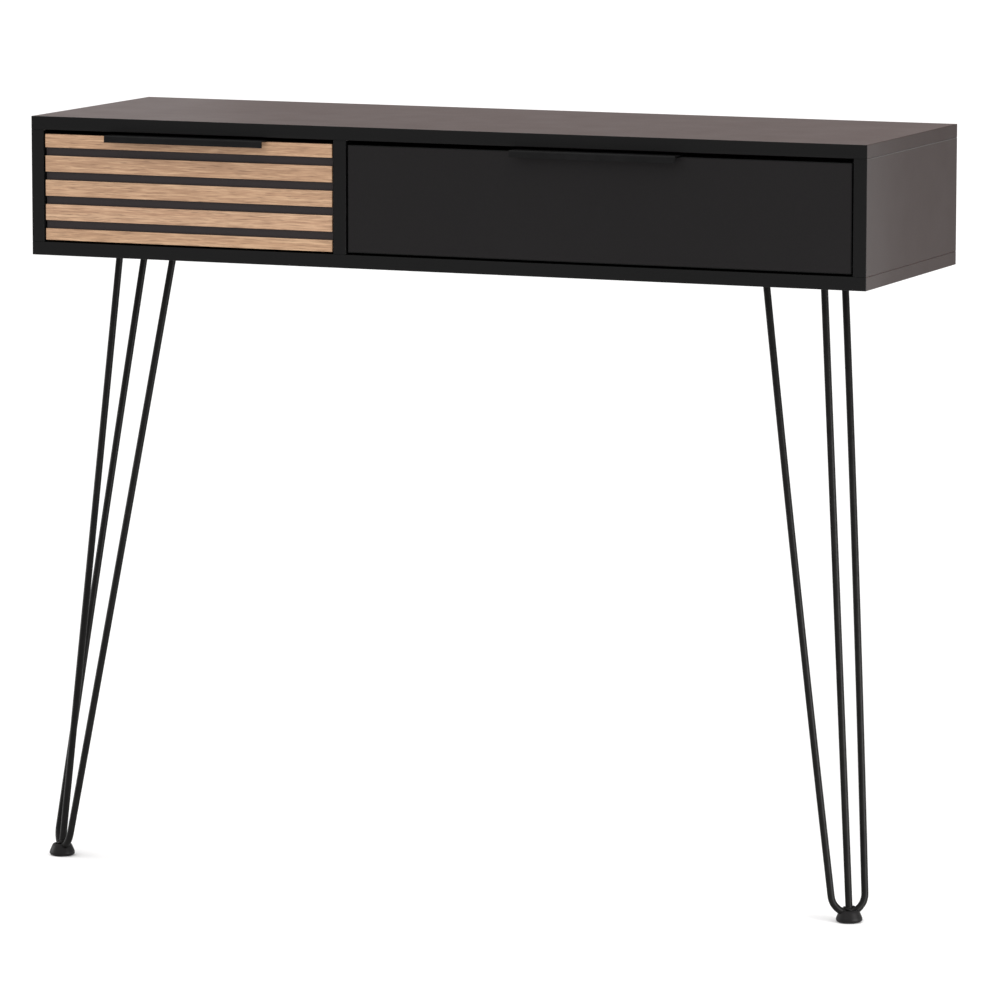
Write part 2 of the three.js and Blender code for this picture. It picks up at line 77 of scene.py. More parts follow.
# ---------------------------------------------------------------- materials
class Finish:
    """A material under construction: one Principled shader and the nodes that feed it."""

    def __init__(self, name, **constants):
        self.material = bpy.data.materials.new(name)
        self.material.use_nodes = True
        self.tree = self.material.node_tree
        self.shader = self.tree.nodes["Principled BSDF"]
        for socket, value in constants.items():
            self.shader.inputs[socket.replace("_", " ")].default_value = value
        self.place = self.tree.nodes.new("ShaderNodeTexCoord").outputs["Object"]

    def node(self, kind, settings=None, **inputs):
        made = self.tree.nodes.new("ShaderNode" + kind)
        for key, value in (settings or {}).items():
            setattr(made, key, value)
        for key, value in inputs.items():
            socket = made.inputs[key.replace("_", " ")]
            if isinstance(value, bpy.types.NodeSocket):
                self.tree.links.new(value, socket)
            else:
                socket.default_value = value
        return made

    def stretched(self, x, y, z, shift=(0, 0, 0)):
        return self.node("Mapping", Vector=self.place, Scale=(x, y, z), Location=shift).outputs[0]

    def noise(self, scale, detail=2.0, rough=0.5, at=None, distortion=0.0):
        made = self.node(
            "TexNoise", Vector=at or self.place, Scale=scale, Detail=detail,
            Roughness=rough, Distortion=distortion,
        )
        return made.outputs["Fac"]

    def spread(self, value, low, high, from_low=0.3, from_high=0.7):
        """Maps the middle of a noise's range to low ... high."""
        made = self.node(
            "MapRange", {"clamp": True}, Value=value,
            From_Min=from_low, From_Max=from_high, To_Min=low, To_Max=high,
        )
        return made.outputs["Result"]

    def ramp(self, value, *stops):
        made = self.node("ValToRGB", Fac=value)
        elements = made.color_ramp.elements
        while len(elements) < len(stops):
            elements.new(0.5)
        for element, (at, colour) in zip(elements, stops):
            element.position, element.color = at, (*colour, 1)
        return made.outputs["Color"]

    def blend(self, share, first, second, how="MIX"):
        made = self.tree.nodes.new("ShaderNodeMix")
        made.data_type, made.blend_type = "RGBA", how
        factor, colour_a, colour_b = (made.inputs[k] for k in (0, 6, 7))
        for socket, value in ((factor, share), (colour_a, first), (colour_b, second)):
            if isinstance(value, bpy.types.NodeSocket):
                self.tree.links.new(value, socket)
            else:
                socket.default_value = value
        return made.outputs[2]

    def link(self, socket, value):
        self.tree.links.new(value, self.shader.inputs[socket])

    def bump(self, *layers):
        """Each layer is (height, distance in metres); later layers ride on earlier ones."""
        normal = None
        for height, distance in layers:
            made = self.node("Bump", Height=height, Distance=distance, Strength=1.0)
            if normal:
                self.tree.links.new(normal, made.inputs["Normal"])
            normal = made.outputs["Normal"]
        self.link("Normal", normal)


def shade(colour, factor):
    return tuple(c * factor for c in colour)


def around(colour, low, high):
    """Two ramp stops that let a noise vary a colour between two factors."""
    return (0.3, shade(colour, low)), (0.7, shade(colour, high))


SHEEN_ROUGH, SHEEN_TINT = 0.4, (1.0, 0.32, 0.19, 1)


def melamine(name, colour, rough, ior, sheen=0.085, pearl=0.00002):
    """Smooth printed board: fine pearl grain, faint clouding, uneven gloss and a warm bloom at low angles."""
    f = Finish(name, IOR=ior, Sheen_Weight=sheen, Sheen_Roughness=SHEEN_ROUGH, Sheen_Tint=SHEEN_TINT)
    cloud = f.noise(scale=5.0, detail=3.0)
    grain = f.noise(scale=1400.0, detail=2.0, rough=0.6)
    base = f.ramp(cloud, *around(colour, 0.92, 1.08))
    pearl_colour = (*shade(colour, 2.2), 1)
    f.link("Base Color", f.blend(f.spread(grain, 0.0, 0.22), base, pearl_colour))
    f.link("Roughness", f.spread(f.noise(scale=24.0, detail=4.0), rough - 0.012, rough + 0.012))
    f.bump((grain, pearl))
    return f.material


def coated_steel(name, colour, rough, ior=1.45, metallic=0.0, peel=0.00003):
    """Powder-coated steel: the coat's orange peel over a near-black base."""
    f = Finish(name, IOR=ior, Metallic=metallic)
    peel_height = f.noise(scale=620.0, detail=3.0, rough=0.55)
    f.link("Base Color", f.ramp(f.noise(scale=60.0, detail=4.0), *around(colour, 0.8, 1.25)))
    f.link("Roughness", f.spread(peel_height, rough - 0.05, rough + 0.06))
    f.bump((peel_height, peel))
    return f.material


def bare_steel(name, colour, rough):
    """Zinc-plated steel with faint rolling streaks."""
    f = Finish(name, Metallic=1.0)
    streak = f.noise(scale=300.0, detail=3.0, rough=0.6, at=f.stretched(1.0, 6.0, 1.0))
    f.link("Base Color", f.ramp(f.noise(scale=120.0, detail=5.0), (0.3, shade(colour, 0.8)), (0.72, colour)))
    f.link("Roughness", f.spread(streak, rough - 0.08, rough + 0.1))
    f.bump((streak, 0.00001))
    return f.material


def moulded(name, colour, rough, ior=1.45):
    """Moulded plastic or rubber with a fine spark-eroded skin."""
    f = Finish(name, IOR=ior)
    skin = f.noise(scale=900.0, detail=3.0, rough=0.6)
    f.link("Base Color", f.ramp(f.noise(scale=90.0, detail=3.0), *around(colour, 0.88, 1.1)))
    f.link("Roughness", f.spread(skin, rough - 0.04, rough + 0.06))
    f.bump((skin, 0.00002))
    return f.material


def pressed_board(name, colour):
    """Lacquered hardboard: short fibres pressed flat."""
    f = Finish(name, IOR=1.4)
    fibre = f.noise(scale=500.0, detail=4.0, rough=0.7, at=f.stretched(1.0, 0.35, 1.0))
    f.link("Base Color", f.ramp(fibre, *around(colour, 0.7, 1.3)))
    f.link("Roughness", f.spread(fibre, 0.5, 0.65))
    f.bump((fibre, 0.00004))
    return f.material


OAK_LIGHT, OAK_MID, OAK_DARK = (0.535, 0.35, 0.216), (0.428, 0.26, 0.156), (0.275, 0.156, 0.09)


def oak(name, slice_number, tint):
    """Straight-grained oak running along X; each slat is another slice of the log."""
    f = Finish(name, IOR=1.4)
    shift = (0.37 * slice_number, 0.11 * slice_number, 0.23 * slice_number)
    ring = f.noise(1.0, 3.0, 0.5, at=f.stretched(2.2, 30.0, 120.0, shift), distortion=0.8)
    streak = f.noise(1.0, 3.0, 0.6, at=f.stretched(32.0, 300.0, 560.0, shift), distortion=0.3)
    fibre = f.noise(1.0, 4.0, 0.65, at=f.stretched(30.0, 900.0, 1500.0, shift), distortion=0.2)
    pore = f.noise(1.0, 1.0, 0.4, at=f.stretched(60.0, 900.0, 1100.0, shift))
    tone = f.ramp(ring, (0.34, shade(OAK_MID, 0.95)), (0.5, shade(OAK_MID, 1.05)), (0.68, OAK_LIGHT))
    tone = f.blend(f.spread(streak, 0.0, 0.75, 0.47, 0.68), tone, (*OAK_DARK, 1))
    tone = f.blend(f.spread(streak, 0.8, 0.0, 0.3, 0.47), tone, (*shade(OAK_LIGHT, 1.12), 1))
    tone = f.blend(f.spread(fibre, 0.0, 0.35, 0.42, 0.75), tone, (*OAK_DARK, 1))
    tone = f.blend(f.spread(pore, 0.0, 0.6, 0.6, 0.74), tone, (*shade(OAK_DARK, 0.6), 1))
    f.link("Base Color", f.blend(1.0, tone, (*tint, 1), "MULTIPLY"))
    f.link("Roughness", f.spread(fibre, 0.42, 0.6))
    f.bump((fibre, 0.00004), (f.spread(pore, 1.0, 0.0, 0.6, 0.74), 0.00008))
    return f.material


GRAPHITE_FACE = melamine("graphite_face", (0.0055, 0.0055, 0.0055), 0.38, 1.185)
GRAPHITE_FRONT = melamine("graphite_front", (0.0092, 0.0085, 0.0088), 0.42, 1.185, sheen=0.0)
FRONT_BAND = melamine("front_band", (0.0052, 0.0052, 0.0053), 0.45, 1.185, sheen=0.0)
GRAPHITE_BAND = melamine("graphite_band", (0.005, 0.005, 0.0051), 0.42, 1.185, sheen=0.0)
GRAPHITE_END = melamine("graphite_end", (0.0042, 0.0042, 0.0042), 0.4, 1.185)
# Painted highlight: a pale colour on the uprights' rounded top edges that stands in for the light this edge
# catches along the seam under the top panel.
SEAM_HIGHLIGHT_PAINT = melamine("painted_seam_highlight", (0.07, 0.065, 0.062), 0.6, 1.3, sheen=0.0)
SLAT_BACKING = melamine("slat_backing", (0.025, 0.021, 0.0215), 0.55, 1.22, sheen=0.02)
BOX_FACE = melamine("box_face", (0.03, 0.03, 0.032), 0.5, 1.35, sheen=0.0)
HARDBOARD = pressed_board("hardboard", (0.055, 0.05, 0.048))
BLACK_STEEL = coated_steel("black_steel", (0.0075, 0.0072, 0.007), 0.34, ior=1.14)
HANDLE_STEEL = coated_steel("handle_steel", (0.0054, 0.0054, 0.0056), 0.44, ior=1.18)
RUNNER_STEEL = coated_steel("runner_steel", (0.03, 0.03, 0.032), 0.36, metallic=0.35)
ZINC_STEEL = bare_steel("zinc_steel", (0.5, 0.5, 0.49), 0.36)
NYLON = moulded("roller_nylon", (0.62, 0.62, 0.58), 0.45)
RUBBER = moulded("foot_rubber", (0.0078, 0.0073, 0.0075), 0.42, ior=1.2)
SLAT_TINTS = [
    (1.04, 1.04, 1.03), (0.98, 0.98, 0.98), (0.98, 0.98, 0.98), (1.01, 1.01, 1.03), (1.0, 1.0, 0.99),
]  # from the top slat down
SLAT_OAK = [oak(f"oak_{i}", i, tint) for i, tint in enumerate(SLAT_TINTS, 1)]


# ---------------------------------------------------------------- mesh helpers, in millimetres
def box_mm(node):
    lo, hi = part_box(node)
    return lo / MM, hi / MM


def centre_of(node):
    lo, hi = box_mm(node)
    return (lo + hi) / 2


def circle(steps):
    """Angles once round."""
    return [2 * math.pi * i / steps for i in range(steps)]


def arc(u, v, radius, start, end, steps):
    """Points on an arc in a plane, angles in degrees."""
    angles = (math.radians(start + (end - start) * i / steps) for i in range(steps + 1))
    return [(u + radius * math.cos(a), v + radius * math.sin(a)) for a in angles]


def lift(axis, along, u, v):
    """A point from its place along an axis and the other two coordinates in order."""
    rest = [u, v]
    return Vector([along if k == axis else rest.pop(0) for k in range(3)])


def prism(axis, outline, start, end):
    """An outline pulled along an axis, closed by two caps."""
    bm = bmesh.new()
    rings = [[bm.verts.new(lift(axis, a, u, v)) for u, v in outline] for a in (start, end)]
    for ring in rings:
        bm.faces.new(ring)
    for i in range(len(outline)):
        j = (i + 1) % len(outline)
        bm.faces.new((rings[0][i], rings[0][j], rings[1][j], rings[1][i]))
    return bm


def block(lo, hi):
    return prism(X, [(lo[1], lo[2]), (hi[1], lo[2]), (hi[1], hi[2]), (lo[1], hi[2])], lo[0], hi[0])


def soften(bm, radius, segments=3, angle=28):
    """Rounds every edge sharper than the angle."""
    bmesh.ops.recalc_face_normals(bm, faces=bm.faces[:])
    limit = math.radians(angle)
    sharp = [e for e in bm.edges if len(e.link_faces) == 2 and e.calc_face_angle(0) > limit]
    bmesh.ops.bevel(
        bm, geom=sharp, offset=radius, segments=segments, profile=0.5,
        affect="EDGES", clamp_overlap=True,
    )
    return bm


def groove(bm, axis, at, lo, hi, half_width=0.08, depth=0.1):
    """A fine V-groove round a board where its edge band meets its face."""
    normal = Vector([float(k == axis) for k in range(3)])
    for place in (at - half_width, at, at + half_width):
        bmesh.ops.bisect_plane(
            bm, geom=bm.verts[:] + bm.edges[:] + bm.faces[:], dist=1e-4,
            plane_co=normal * place, plane_no=normal,
        )
    middle = (lo + hi) / 2
    for v in bm.verts:
        if abs(v.co[axis] - at) < 1e-3:
            for k in range(3):
                if k != axis:
                    v.co[k] += math.copysign(depth, middle[k] - v.co[k])


def turned(profile, steps, place=(0, 0, 0), axis=Z):
    """A lathed piece; the profile is (radius, height) from one end of its axis to the other."""
    bm = bmesh.new()
    rings = []
    for radius, height in profile:
        angles = circle(steps) if radius > 0 else [0.0]
        rings.append([bm.verts.new((radius * math.cos(a), radius * math.sin(a), height)) for a in angles])
    for low, high in zip(rings, rings[1:]):
        for i in range(steps):
            j = (i + 1) % steps
            corners = [low[i % len(low)], low[j % len(low)], high[j % len(high)], high[i % len(high)]]
            face = list(dict.fromkeys(corners))
            if len(face) > 2:
                bm.faces.new(face)
    for ring in (rings[0], rings[-1]):
        if len(ring) > 1 and profile[0] != profile[-1]:
            bm.faces.new(ring)
    if profile[0] == profile[-1]:
        bmesh.ops.remove_doubles(bm, verts=bm.verts[:], dist=1e-4)
    turns = {
        X: Matrix.Rotation(math.pi / 2, 4, "Y"),
        Y: Matrix.Rotation(-math.pi / 2, 4, "X"),
        Z: Matrix.Identity(4),
    }
    bm.transform(Matrix.Translation(Vector(place)) @ turns[axis])
    return bm


def swept(points, radius, sides, closed=False, ends=(None, None)):
    """A tube along a path; radius is one number or one per point, and ends may move the end rings' points."""
    count = len(points)
    radii = radius if isinstance(radius, list) else [radius] * count
    step = [points[(i + 1) % count] - points[i] for i in range(count if closed else count - 1)]
    tangents = []
    for i in range(count):
        before = step[i - 1] if closed or i else step[0]
        after = step[i] if closed or i < count - 1 else step[-1]
        tangents.append((before.normalized() + after.normalized()).normalized())
    side = tangents[0].orthogonal().normalized()
    bm = bmesh.new()
    rings = []
    for i, (point, tangent) in enumerate(zip(points, tangents)):
        side = (side - tangent * side.dot(tangent)).normalized()
        up = tangent.cross(side)
        ring = [point + (side * math.cos(a) + up * math.sin(a)) * radii[i] for a in circle(sides)]
        fit = ends[0] if i == 0 else ends[1] if i == count - 1 else None
        if fit:
            ring = [fit(p, tangent) for p in ring]
        rings.append([bm.verts.new(p) for p in ring])
    pairs = list(zip(rings, rings[1:]))
    if closed:
        pairs.append((rings[-1], rings[0]))
    for a, b in pairs:
        for k in range(sides):
            m = (k + 1) % sides
            bm.faces.new((a[k], a[m], b[m], b[k]))
    if not closed:
        bm.faces.new(rings[0])
        bm.faces.new(rings[-1])
    return bm


def shifted(parts, z):
    """Meshes moved up by z."""
    for part in parts:
        part.transform(Matrix.Translation((0, 0, z)))
    return parts


def flipped(parts, z):
    """Meshes turned upside down and then moved up by z."""
    for part in parts:
        part.transform(Matrix.Translation((0, 0, z)) @ Matrix.Rotation(math.pi, 4, "X"))
    return parts


def merged(*parts):
    """Several meshes in one."""
    whole = bmesh.new()
    for part in parts:
        scratch = bpy.data.meshes.new("scratch")
        part.to_mesh(scratch)
        part.free()
        whole.from_mesh(scratch)
        bpy.data.meshes.remove(scratch)
    return whole


def settle(obj):
    """Replaces an object's mesh by what its modifiers make of it."""
    shaped = obj.evaluated_get(bpy.context.evaluated_depsgraph_get())
    mesh = bpy.data.meshes.new_from_object(shaped)
    old = obj.data
    obj.modifiers.clear()
    obj.data = mesh
    bpy.data.meshes.remove(old)


def raw(bm, name="raw"):
    """A plain object in the scene from a bmesh, which it uses up."""
    mesh = bpy.data.meshes.new(name)
    bmesh.ops.recalc_face_normals(bm, faces=bm.faces[:])
    bm.to_mesh(mesh)
    bm.free()
    obj = bpy.data.objects.new(name, mesh)
    scene.collection.objects.link(obj)
    return obj


def carved(body, *tools):
    """A mesh with others cut out of it."""
    obj = raw(body)
    cutters = [raw(tool) for tool in tools]
    for cutter in cutters:
        cut = obj.modifiers.new("cut", "BOOLEAN")
        cut.operation, cut.solver, cut.object = "DIFFERENCE", "EXACT", cutter
    settle(obj)
    bm = bmesh.new()
    bm.from_mesh(obj.data)
    for spare in (obj, *cutters):
        mesh = spare.data
        bpy.data.objects.remove(spare)
        bpy.data.meshes.remove(mesh)
    bmesh.ops.dissolve_degenerate(bm, edges=bm.edges[:], dist=1e-3)
    return bm


def piece(name, bm, body, slot, materials, nodes=(), smooth=32):
    """A finished piece: the mesh in metres, smooth up to an angle, riding on its body."""
    obj = raw(bm, name)
    mesh = obj.data
    mesh.transform(Matrix.Scale(MM, 4))
    for material in materials if isinstance(materials, (list, tuple)) else [materials]:
        mesh.materials.append(material)
    mesh.polygons.foreach_set("use_smooth", [True] * len(mesh.polygons))
    mesh.set_sharp_from_angle(angle=math.radians(smooth))
    even = obj.modifiers.new("even", "WEIGHTED_NORMAL")
    even.keep_sharp, even.weight = True, 80
    settle(obj)
    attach(obj, body)
    if nodes:
        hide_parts(*nodes)
    return obj


# ---------------------------------------------------------------- body boards
BAND = 1.0  # thickness of an edge band
FRAME = "desk_frame"


def banded_board(name, node, body, bands, materials, radius=0.6, cutters=(), inside=()):
    """A board with its banded edges: bands lists (axis, -1 or +1, which material) for each banded edge.

    Faces that look along one of the inside directions (axis, -1 or +1) take the second material, the duller
    one. Where two bands meet, the later one wins.
    """
    lo, hi = box_mm(node)
    bm = soften(block(lo, hi), radius, 3)
    for axis, way, _ in bands:
        groove(bm, axis, (lo if way < 0 else hi)[axis] - way * BAND, lo, hi)
    if cutters:
        bm = carved(bm, *cutters)
    bm.normal_update()
    for face in bm.faces:
        centre = face.calc_center_median()
        if any(way * face.normal[axis] > 0.5 for axis, way in inside):
            face.material_index = 1
        for axis, way, material in bands:
            if way * (centre[axis] - (lo if way < 0 else hi)[axis]) > -BAND:
                face.material_index = material
    return piece(name, bm, body, "graphite_board", materials, [node])


TOP_LOOK = (GRAPHITE_FACE, GRAPHITE_BAND, GRAPHITE_END)
BOTTOM_LOOK = (GRAPHITE_FACE, GRAPHITE_BAND, GRAPHITE_FACE)
# The third material, on each upright's top 1 mm, is the painted seam highlight.
UPRIGHT_LOOK = (GRAPHITE_FACE, GRAPHITE_BAND, SEAM_HIGHLIGHT_PAINT)
THREE_BANDS = [(X, -1, 2), (X, 1, 2), (Y, -1, 1)]
UPRIGHTS = {
    "left_side_panel": [(X, 1)],
    "right_side_panel": [(X, -1)],
    "centre_divider": [(X, -1), (X, 1)],
}  # each with the directions that look into a drawer bay
banded_board("top_panel_look", "top_panel", FRAME, THREE_BANDS, TOP_LOOK, inside=[(Z, -1)])
# Each upright's top band takes the painted seam highlight; its front band is a real edge band.
for node, inside in UPRIGHTS.items():
    banded_board(node + "_look", node, FRAME, [(Z, 1, 2), (Y, -1, 1)], UPRIGHT_LOOK, inside=inside)

# ---------------------------------------------------------------- legs
ROD_R = 4.0
ROD_SIDES = 28
ROD_BOW = 1.5  # spring of each hairpin rod, outwards at the middle of its run
ROD_SPACING = 67.5  # the rods' tops stand on three corners of a square of this side
LEG_CORNER_IN, LEG_CORNER_BACK = 74.0, 75.0  # outer rod's top, in from the side and back from the front
LEG_SPLAY = 54.0  # foot centre, outwards and forwards from that rod's top
BEND_R, BEND_Z = 20.5, 10.0  # radius of the hairpin bend's centreline, and its lowest height
BEND_STEPS = 30
STRAIGHT_STOP = 12.0  # the straight rod's line ends this far before the bend's lowest point
PLATE_T = 2.5
PLATE_MARGIN = 14.0  # from the rods' square to the plate's edges
PLATE_SLANT = 52.0  # where the plate's slanted edge begins, along the square's sides
PLATE_CORNER, PLATE_BLUNT = 6.0, 5.0  # rounding of the plate's square corners and of its obtuse ones
PLATE_HOLE_R = 2.1
LEG_SCREWS = [(ROD_SPACING / 2, 0), (0, ROD_SPACING / 2), (60, 24), (24, 60)]
BEAD_OUT = 0.5  # from a rod's surface to the middle of a weld bead
SADDLE_UP, SADDLE_CLIMB = 2.3, 2.7  # the bead on the bend: height over the bend's centreline, and its climb
SADDLE_R, SADDLE_SWELL = 1.8, 0.3  # its radius, and how much it swells where it is highest
COLLAR_R, COLLAR_DOWN = 1.25, 0.7  # the beads at the rods' tops: radius, and depth under the rods' ends
FOOT_FIT = 0.2  # gap between a rod and the foot's channel
FOOT_PROFILE = [
    (0, 0), (11.9, 0), (12.9, 0.15), (13.6, 0.55), (14.2, 1.2), (14.5, 2.0), (14.6, 2.9), (14.45, 4.0),
    (14.1, 5.0), (13.0, 7.6), (11.9, 10.2), (11.4, 11.3), (10.8, 12.3), (10.1, 12.95), (9.3, 13.25),
    (8.5, 13.1), (7.8, 12.6), (7.3, 11.8), (7.1, 10.4), (6.7, 9.8), (0, 9.8),
]  # the hollow on top holds the weld

top_lo, top_hi = box_mm("top_panel")
ROD_TOP = Vector((top_hi.x - LEG_CORNER_IN, top_lo.y + LEG_CORNER_BACK))  # right leg's outer rod, at its top
UNDER_Z = box_mm("bottom_panel")[0].z
PLATE_Z = UNDER_Z - PLATE_T


def on_leg(side, across, back, z):
    """A point over the square of a leg's rods, across towards the desk's middle and back towards the wall."""
    return Vector((side * (ROD_TOP.x - across), ROD_TOP.y + back, z))


def foot_at(side, z):
    return Vector((side * (ROD_TOP.x + LEG_SPLAY), ROD_TOP.y - LEG_SPLAY, z))


def hairpin(side, run_steps=12):
    """Centreline of the bent rod, and its across direction."""
    inner, outer = on_leg(side, ROD_SPACING, 0, UNDER_Z), on_leg(side, 0, ROD_SPACING, UNDER_Z)
    low = foot_at(side, BEND_Z)
    across = (outer - inner).normalized()
    up = (inner + outer) / 2 - low
    rise, half = up.length - BEND_R, (outer - inner).length / 2
    start = math.atan2(rise, half) - math.acos(BEND_R / math.hypot(half, rise))
    up.normalize()
    centre = low + up * BEND_R
    turn = [start - (math.pi + 2 * start) * i / BEND_STEPS for i in range(BEND_STEPS + 1)]
    bend = [centre + (across * math.cos(a) + up * math.sin(a)) * BEND_R for a in turn]

    def run(a, b, outwards):
        shares = [i / run_steps for i in range(1, run_steps)]
        return [a.lerp(b, t) + across * (outwards * ROD_BOW * 4 * t * (1 - t)) for t in shares]

    return [outer, *run(outer, bend[0], 1), *bend, *run(bend[-1], inner, -1), inner], across


class Leg:
    """The lines that the pieces of one hairpin leg share."""

    def __init__(self, label, side):
        self.name = f"leg_{label}_"
        self.side = side
        self.path, self.across = hairpin(side)
        middle, reach = len(self.path) // 2, 12
        self.bend = self.path[middle - reach: middle + reach + 1]  # without the bend's two ends
        self.top = on_leg(side, 0, 0, UNDER_Z)
        self.low = foot_at(side, BEND_Z)
        self.axis = (self.low - self.top).normalized()  # of the straight rod, downwards
        self.stop = self.low - self.axis * STRAIGHT_STOP

    def steel_piece(self, what, bm, suffix="_look", **more):
        piece(self.name + what + suffix, bm, FRAME, "black_steel", BLACK_STEEL, **more)


def onto_plate(p, tangent):
    """Slides an end point along its rod to just under the leg's plate."""
    return p + tangent * ((PLATE_Z - FIT - p.z) / tangent.z)


def gap_to(path, p):
    """Distance from a point to a polyline."""
    best = 1e9
    for a, b in zip(path, path[1:]):
        d = b - a
        t = min(1, max(0, (p - a).dot(d) / d.length_squared))
        best = min(best, (a + d * t - p).length)
    return best


def weld(ring, radii, sides=10):
    """A closed bead through a ring of points, rippled like a run of molten drops."""
    ripple = [r * (1 + 0.08 * math.sin(i * 2.1) + dice.uniform(-0.04, 0.04)) for i, r in enumerate(radii)]
    return swept(ring, ripple, sides, closed=True)


def plate_outline(side):
    """A leg plate from above: a square whose far corner is cut off on the slant."""
    far, near, r = ROD_SPACING + PLATE_MARGIN, -PLATE_MARGIN, PLATE_CORNER
    blunted = [
        (far + PLATE_BLUNT * a, PLATE_SLANT + PLATE_BLUNT * b)
        for a, b in ((0, -1), (-0.12, -0.4), (-0.6, 0.55))
    ]
    points = [
        *arc(near + r, near + r, r, 180, 270, 8),
        *arc(far - r, near + r, r, 270, 360, 8),
        *blunted,
        *((b, a) for a, b in reversed(blunted)),
        *arc(near + r, far - r, r, 90, 180, 8),
    ]
    return [tuple(on_leg(side, a, b, 0).xy) for a, b in points]


def cross_recess(reach, depth):
    """The two crossed cutters of a screw's drive, pointing up from z = 0."""
    square = ((-1, -1), (1, -1), (1, 1), (-1, 1))
    mouth, seat = (-0.5, reach, 0.62), (depth, reach * 0.45, 0.42)  # height, half length, half thickness
    arms = []
    for turn in (0, 90):
        bm = bmesh.new()
        rings = [
            [bm.verts.new((sx * half, sy * thick, z)) for sx, sy in square]
            for z, half, thick in (mouth, seat)
        ]
        for ring in rings:
            bm.faces.new(ring)
        for i in range(4):
            j = (i + 1) % 4
            bm.faces.new((rings[0][i], rings[0][j], rings[1][j], rings[1][i]))
        bm.transform(Matrix.Rotation(math.radians(turn), 4, "Z"))
        arms.append(bm)
    return arms


HEAD_R, HEAD_H, SHANK_R, SHANK_L = 4.0, 2.4, 1.75, 14.0
CORE_R = SHANK_R * 0.66
PILOT_R, PILOT_L = SHANK_R + FIT, SHANK_L - PLATE_T + FIT


def screw_head():
    """A pan head with a cross drive, hanging below z = 0."""
    crown = [
        (HEAD_R * math.sin(a), -HEAD_H * math.cos(a) ** 0.8)
        for a in (math.radians(turn) for turn in range(12, 85, 12))
    ]
    head = turned([(0, -HEAD_H), *crown, (HEAD_R, -0.15), (HEAD_R - 0.12, 0), (0, 0)], 28)
    return carved(head, *shifted(cross_recess(HEAD_R * 0.52, 1.5), -HEAD_H))


def screw_thread(sides=16, step=0.28):
    """A threaded shank standing on z = 0; its thread fades in under the head and out at the point."""
    pitch, crest_half = 1.7, 0.28  # crest_half is a share of the pitch
    point_l, fade_l, neck_l = 3.2, 2.4, 1.2
    bm = bmesh.new()
    rings = []
    for level in range(int(SHANK_L / step) + 1):
        h = level * step
        core = CORE_R * min(1.0, (SHANK_L - h) / point_l + 0.04)
        crest = (SHANK_R - CORE_R) * min(1.0, (SHANK_L - h) / fade_l) * min(1.0, h / neck_l)
        ring = []
        for k, a in enumerate(circle(sides)):
            phase = (h / pitch - k / sides) % 1.0
            r = core + crest * max(0.0, 1 - abs(phase - 0.5) / crest_half)
            ring.append(bm.verts.new((r * math.cos(a), r * math.sin(a), h)))
        rings.append(ring)
    for a, b in zip(rings, rings[1:]):
        for k in range(sides):
            m = (k + 1) % sides
            bm.faces.new((a[k], a[m], b[m], b[k]))
    bm.faces.new(rings[0])
    bm.faces.new(rings[-1])
    return bm


screw_parent = merged(screw_head(), screw_thread())
SCREW_MESH = bpy.data.meshes.new("screw")
screw_parent.to_mesh(SCREW_MESH)
screw_parent.free()


def screw_copy(matrix):
    bm = bmesh.new()
    bm.from_mesh(SCREW_MESH)
    bm.transform(matrix)
    return bm


def leg_plate(leg):
    z0, z1, r = PLATE_Z - 1, UNDER_Z + 1, PLATE_HOLE_R
    holes = [
        turned([(0, z0), (r, z0), (r, z1), (0, z1)], 20, on_leg(leg.side, a, b, 0))
        for a, b in LEG_SCREWS
    ]
    plate = soften(prism(Z, plate_outline(leg.side), PLATE_Z, UNDER_Z), 0.45, 2, 50)
    leg.steel_piece("plate", carved(plate, *holes), nodes=[leg.name + "plate"])


def leg_rods(leg):
    """The bent rod, and the straight one from the plate down to the bend."""

    def onto_bend(p, tangent):
        """Slides an end point down the rod until it meets the bend, at most to the bend's lowest point."""
        for i in range(1, 121):
            q = p + tangent * (0.1 * i)
            if gap_to(leg.bend, q) < ROD_R:
                return q
        return q

    bent = swept(leg.path, ROD_R, ROD_SIDES, ends=(onto_plate, onto_plate))
    leg.steel_piece("bent_rod", bent, nodes=[leg.name + "bent_rod"])
    line = [leg.top.lerp(leg.stop, i / 10) for i in range(11)]
    straight = swept(line, ROD_R, ROD_SIDES, ends=(onto_plate, onto_bend))
    leg.steel_piece("straight_rod", straight, nodes=[leg.name + "straight_rod"])


def saddle_bead(leg):
    """The bead where the straight rod stands on the bend; it climbs and swells over the bent rod."""
    away = leg.axis.cross(leg.across).normalized()
    ring, radii = [], []
    for a in circle(48):
        over = abs(math.cos(a))  # 1 over the bent rod, 0 beside it
        reach = leg.across * math.cos(a) + away * math.sin(a)
        rise = SADDLE_UP + SADDLE_CLIMB * over
        middle = leg.low + leg.axis * (rise / leg.axis.z)
        ring.append(middle + reach * (ROD_R + BEAD_OUT + 0.7 * over))
        radii.append(SADDLE_R + SADDLE_SWELL * over)
    return weld(ring, radii)


def collar_bead(rod_end, below, steps=30):
    """The bead round a rod's top, under the plate; below is a point further down the rod."""
    middle = onto_plate(rod_end, (below - rod_end).normalized()) - Vector((0, 0, COLLAR_DOWN))
    reach = ROD_R + BEAD_OUT
    ring = [middle + Vector((math.cos(a), math.sin(a), 0)) * reach for a in circle(steps)]
    return weld(ring, [COLLAR_R] * steps)


def leg_welds(leg):
    tops = ((leg.path[0], leg.path[1]), (leg.path[-1], leg.path[-2]), (leg.top, leg.stop))
    beads = [saddle_bead(leg), *(collar_bead(*ends) for ends in tops)]
    leg.steel_piece("welds", merged(*beads), suffix="", smooth=60)


